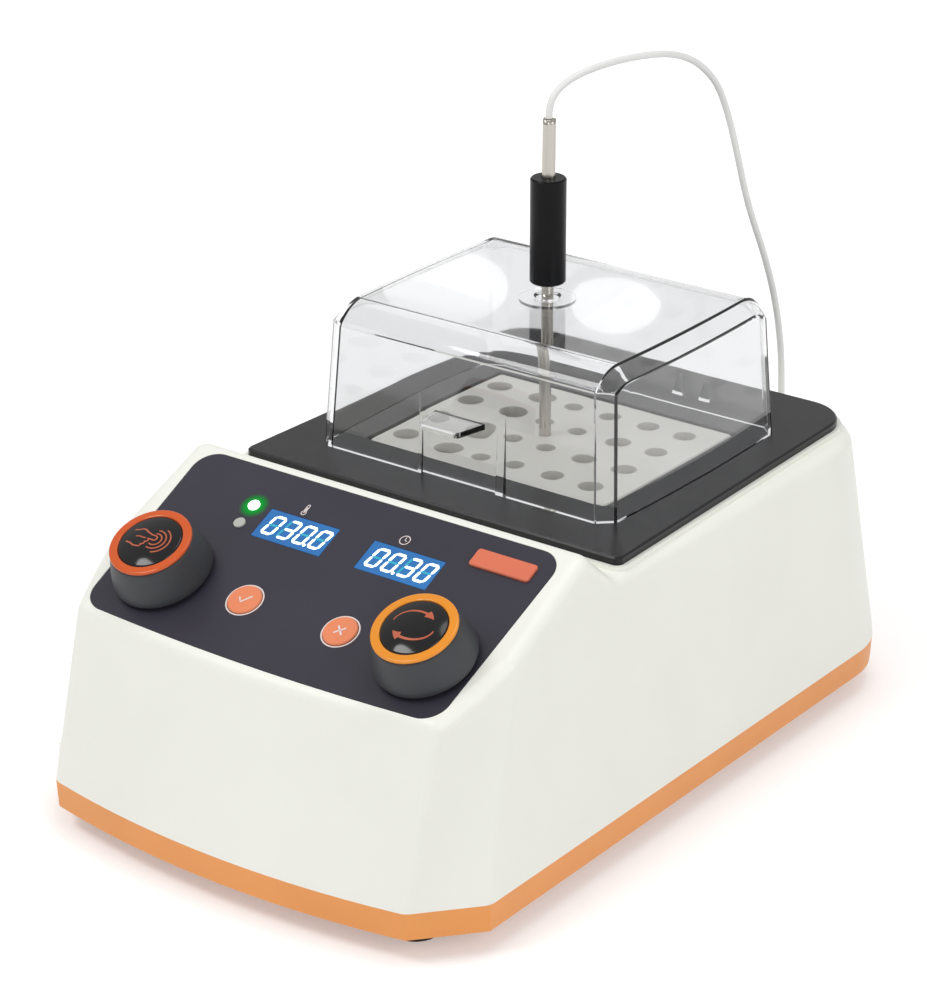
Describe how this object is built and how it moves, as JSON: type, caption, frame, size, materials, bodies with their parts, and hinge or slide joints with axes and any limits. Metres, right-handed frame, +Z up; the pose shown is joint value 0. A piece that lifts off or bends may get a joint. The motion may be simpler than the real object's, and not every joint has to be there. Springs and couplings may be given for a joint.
{
  "type": "dry bath incubator",
  "caption": "Wedge-shaped bench dry bath: drilled heat block under a clear lift-off cover with a probe thermometer, tilted panel with two knobs, keys and displays.",
  "frame": {"origin": "middle of the housing's plan, on the surface that the feet stand on", "axes": "+Z up, -Y to the front with the control panel, +X to the user's right"},
  "size_m": [0.175, 0.2883, 0.2243],
  "materials": {
    "housing_white": "fine satin texture",
    "band_orange": "fine satin texture",
    "foot_rubber": "matt",
    "zinc_steel": "bright zinc",
    "overlay_film": "semi-gloss printed film",
    "display_blue": "glossy window",
    "circuit_board": "satin solder mask",
    "lamp_green": "clear lens",
    "lamp_grey": "frosted lens",
    "key_coral": "satin",
    "control_black": "satin",
    "knob_grey": "soft-touch coat",
    "ring_orange": "gloss",
    "ring_amber": "gloss",
    "cap_black": "high gloss",
    "badge_coral": "gloss",
    "frame_black": "semi-gloss",
    "block_aluminium": "machined, bead-blasted",
    "heater_film": "silicone sheet",
    "insulation_foam": "porous foam",
    "shaft_steel": "ground",
    "cover_clear": "clear moulded polycarbonate",
    "probe_steel": "polished stainless",
    "handle_black": "satin",
    "cable_white": "satin jacket",
    "inlet_black": "satin",
    "fuse_black": "gloss",
    "core_iron": "laminated core, lacquered",
    "sink_aluminium": "extruded",
    "capacitor_sleeve": "shrink sleeve"
  },
  "bodies": {
    "root": {"upper_housing": "housing_white", "base_tray": "band_orange", "rubber_feet": "foot_rubber", "housing_screws": "zinc_steel", "front_overlay": "overlay_film", "temperature_display": "display_blue", "time_display": "display_blue", "control_board": "circuit_board", "board_screws": "zinc_steel", "run_lamp": "lamp_green", "standby_lamp": "lamp_grey", "key_switches": "control_black", "press_switch": "control_black", "rotary_encoder": "control_black", "blank_badge": "badge_coral", "top_frame": "frame_black", "frame_screws": "zinc_steel", "heat_block": "block_aluminium", "heater_plate": "heater_film", "insulation_pad": "insulation_foam", "insulation_jacket": "insulation_foam", "block_cradle": "zinc_steel", "cradle_screws": "zinc_steel", "block_screws": "zinc_steel", "block_sensor": "probe_steel", "thermal_cutout": "control_black", "probe_socket": "inlet_black", "probe_plug": "handle_black", "probe_cable": "cable_white", "mains_inlet": "inlet_black", "inlet_screws": "zinc_steel", "switch_frame": "inlet_black", "fuse_holder": "fuse_black", "fuse_cap": "fuse_black", "power_board": "circuit_board", "power_board_screws": "zinc_steel", "transformer": "core_iron", "heat_sink": "sink_aluminium", "capacitors": "capacitor_sleeve"},
    "cover": {"clear_cover": "cover_clear"},
    "probe": {"probe_sheath": "probe_steel", "probe_handle": "handle_black", "probe_tube": "probe_steel"},
    "press_knob": {"press_shaft": "shaft_steel", "press_knob_body": "knob_grey", "press_knob_ring": "ring_orange", "press_knob_cap": "cap_black"},
    "rotary_knob": {"rotary_shaft": "shaft_steel", "rotary_knob_body": "knob_grey", "rotary_knob_ring": "ring_amber", "rotary_knob_cap": "cap_black"},
    "set_button": {"set_key": "key_coral"},
    "esc_button": {"esc_key": "key_coral"},
    "mains_rocker": {"power_rocker": "inlet_black"}
  },
  "joints": [
    {"name": "cover_lift", "type": "slide", "parent": "root", "child": "cover", "axis": [0, 0, 1], "range_m": [0, 0.05]},
    {"name": "probe_lift", "type": "slide", "parent": "root", "child": "probe", "axis": [0, 0, 1], "range_m": [0, 0.05], "deforming": ["probe_cable"]},
    {"name": "press_knob_push", "type": "slide", "parent": "root", "child": "press_knob", "axis": [0, 0.4321, -0.9018], "range_m": [0, 0.0008], "stiffness_N_per_m": 1500},
    {"name": "rotary_knob_turn", "type": "hinge", "parent": "root", "child": "rotary_knob", "pos_m": [0.0536, -0.09604, 0.08325], "axis": [0, -0.4321, 0.9018], "continuous": true},
    {"name": "set_key_push", "type": "slide", "parent": "root", "child": "set_button", "axis": [0, 0.4321, -0.9018], "range_m": [0, 0.0004], "stiffness_N_per_m": 1500},
    {"name": "esc_key_push", "type": "slide", "parent": "root", "child": "esc_button", "axis": [0, 0.4321, -0.9018], "range_m": [0, 0.0004], "stiffness_N_per_m": 1500},
    {"name": "mains_rocker_turn", "type": "hinge", "parent": "root", "child": "mains_rocker", "pos_m": [0.001, 0.1254, 0.047], "axis": [1, 0, 0], "range_deg": [-18, 0]}
  ],
  "couplings": [
    {"joint": "probe_lift", "follows": "cover_lift", "ratio": 1}
  ]
}
